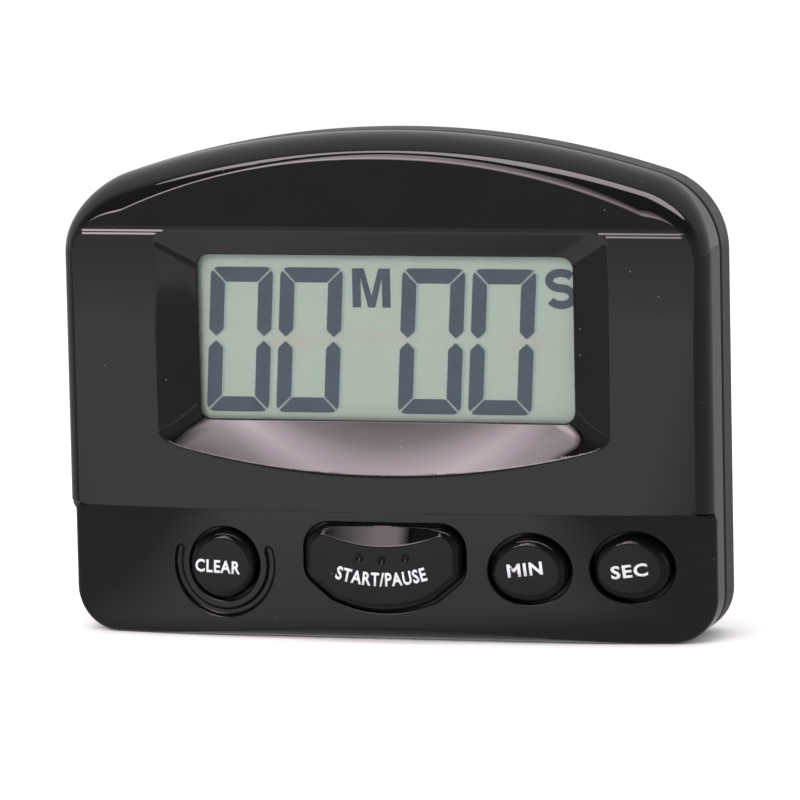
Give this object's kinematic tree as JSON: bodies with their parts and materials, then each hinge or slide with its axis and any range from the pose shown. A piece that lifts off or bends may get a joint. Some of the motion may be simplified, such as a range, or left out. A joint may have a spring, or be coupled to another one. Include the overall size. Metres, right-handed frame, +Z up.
{
  "type": "countdown timer",
  "caption": "Black pocket countdown timer with an arched top, segment display window, front keys, fold-out back stand, back magnet and coin-turn battery cover.",
  "frame": {"origin": "centre of the footprint box, on the surface the case stands on", "axes": "+X to the right along the case's width, +Y from the display to the back face, +Z up"},
  "size_m": [0.088, 0.019, 0.0672],
  "materials": {
    "gloss_black_abs": "gloss",
    "satin_black_abs": "satin",
    "key_abs": "gloss",
    "clear_acrylic": "clear",
    "display_glass": "satin",
    "reflector_film": "satin",
    "zebra_rubber": "matte",
    "board_laminate": "satin",
    "black_epoxy": "gloss",
    "bright_steel": "bright",
    "cell_steel": "bright",
    "screw_steel": "bright",
    "capacitor_ceramic": "matte",
    "resistor_black": "satin",
    "copper_wire": "lacquered",
    "grey_silicone": "matte",
    "carbon_rubber": "matte",
    "sounder_brass": "satin",
    "sounder_ceramic": "matte",
    "black_ferrite": "matte"
  },
  "bodies": {
    "case": {"front_casing": "gloss_black_abs", "rear_casing": "satin_black_abs", "lens_window": "clear_acrylic", "display_front_glass": "display_glass", "display_rear_glass": "display_glass", "display_reflector": "reflector_film", "zebra_strip": "zebra_rubber", "circuit_board": "board_laminate", "chip_blob": "black_epoxy", "timing_crystal": "bright_steel", "chip_capacitors": "capacitor_ceramic", "chip_resistors": "resistor_black", "tuning_coil": "copper_wire", "keypad_mat": "grey_silicone", "buzzer_disc": "sounder_brass", "buzzer_ceramic": "sounder_ceramic", "buzzer_springs": "bright_steel", "battery_cell": "cell_steel", "battery_clip": "bright_steel", "battery_spring": "bright_steel", "back_magnet": "black_ferrite", "stand_hinge_pin": "bright_steel", "case_screws": "screw_steel", "board_screws": "screw_steel"},
    "clear_button": {"clear_key": "key_abs", "clear_contact_pill": "carbon_rubber"},
    "start_button": {"start_key": "key_abs", "start_contact_pill": "carbon_rubber"},
    "minute_button": {"minute_key": "key_abs", "minute_contact_pill": "carbon_rubber"},
    "second_button": {"second_key": "key_abs", "second_contact_pill": "carbon_rubber"},
    "battery_door": {"battery_cover": "satin_black_abs"},
    "stand": {"stand_leg": "satin_black_abs"}
  },
  "joints": [
    {"name": "clear_press", "type": "slide", "parent": "case", "child": "clear_button", "axis": [0, 1, 0], "range_m": [0, 0.0008], "stiffness_N_per_m": 1200, "deforming": ["keypad_mat"]},
    {"name": "start_press", "type": "slide", "parent": "case", "child": "start_button", "axis": [0, 1, 0], "range_m": [0, 0.0008], "stiffness_N_per_m": 1200, "deforming": ["keypad_mat"]},
    {"name": "minute_press", "type": "slide", "parent": "case", "child": "minute_button", "axis": [0, 1, 0], "range_m": [0, 0.0008], "stiffness_N_per_m": 1200, "deforming": ["keypad_mat"]},
    {"name": "second_press", "type": "slide", "parent": "case", "child": "second_button", "axis": [0, 1, 0], "range_m": [0, 0.0008], "stiffness_N_per_m": 1200, "deforming": ["keypad_mat"]},
    {"name": "stand_hinge", "type": "hinge", "parent": "case", "child": "stand", "pos_m": [0, 0.0084, 0.031], "axis": [1, 0, 0], "range_deg": [0, 60]},
    {"name": "battery_cover_turn", "type": "hinge", "parent": "case", "child": "battery_door", "pos_m": [0.022, 0.0095, 0.0442], "axis": [0, 1, 0], "range_deg": [0, 30]}
  ]
}
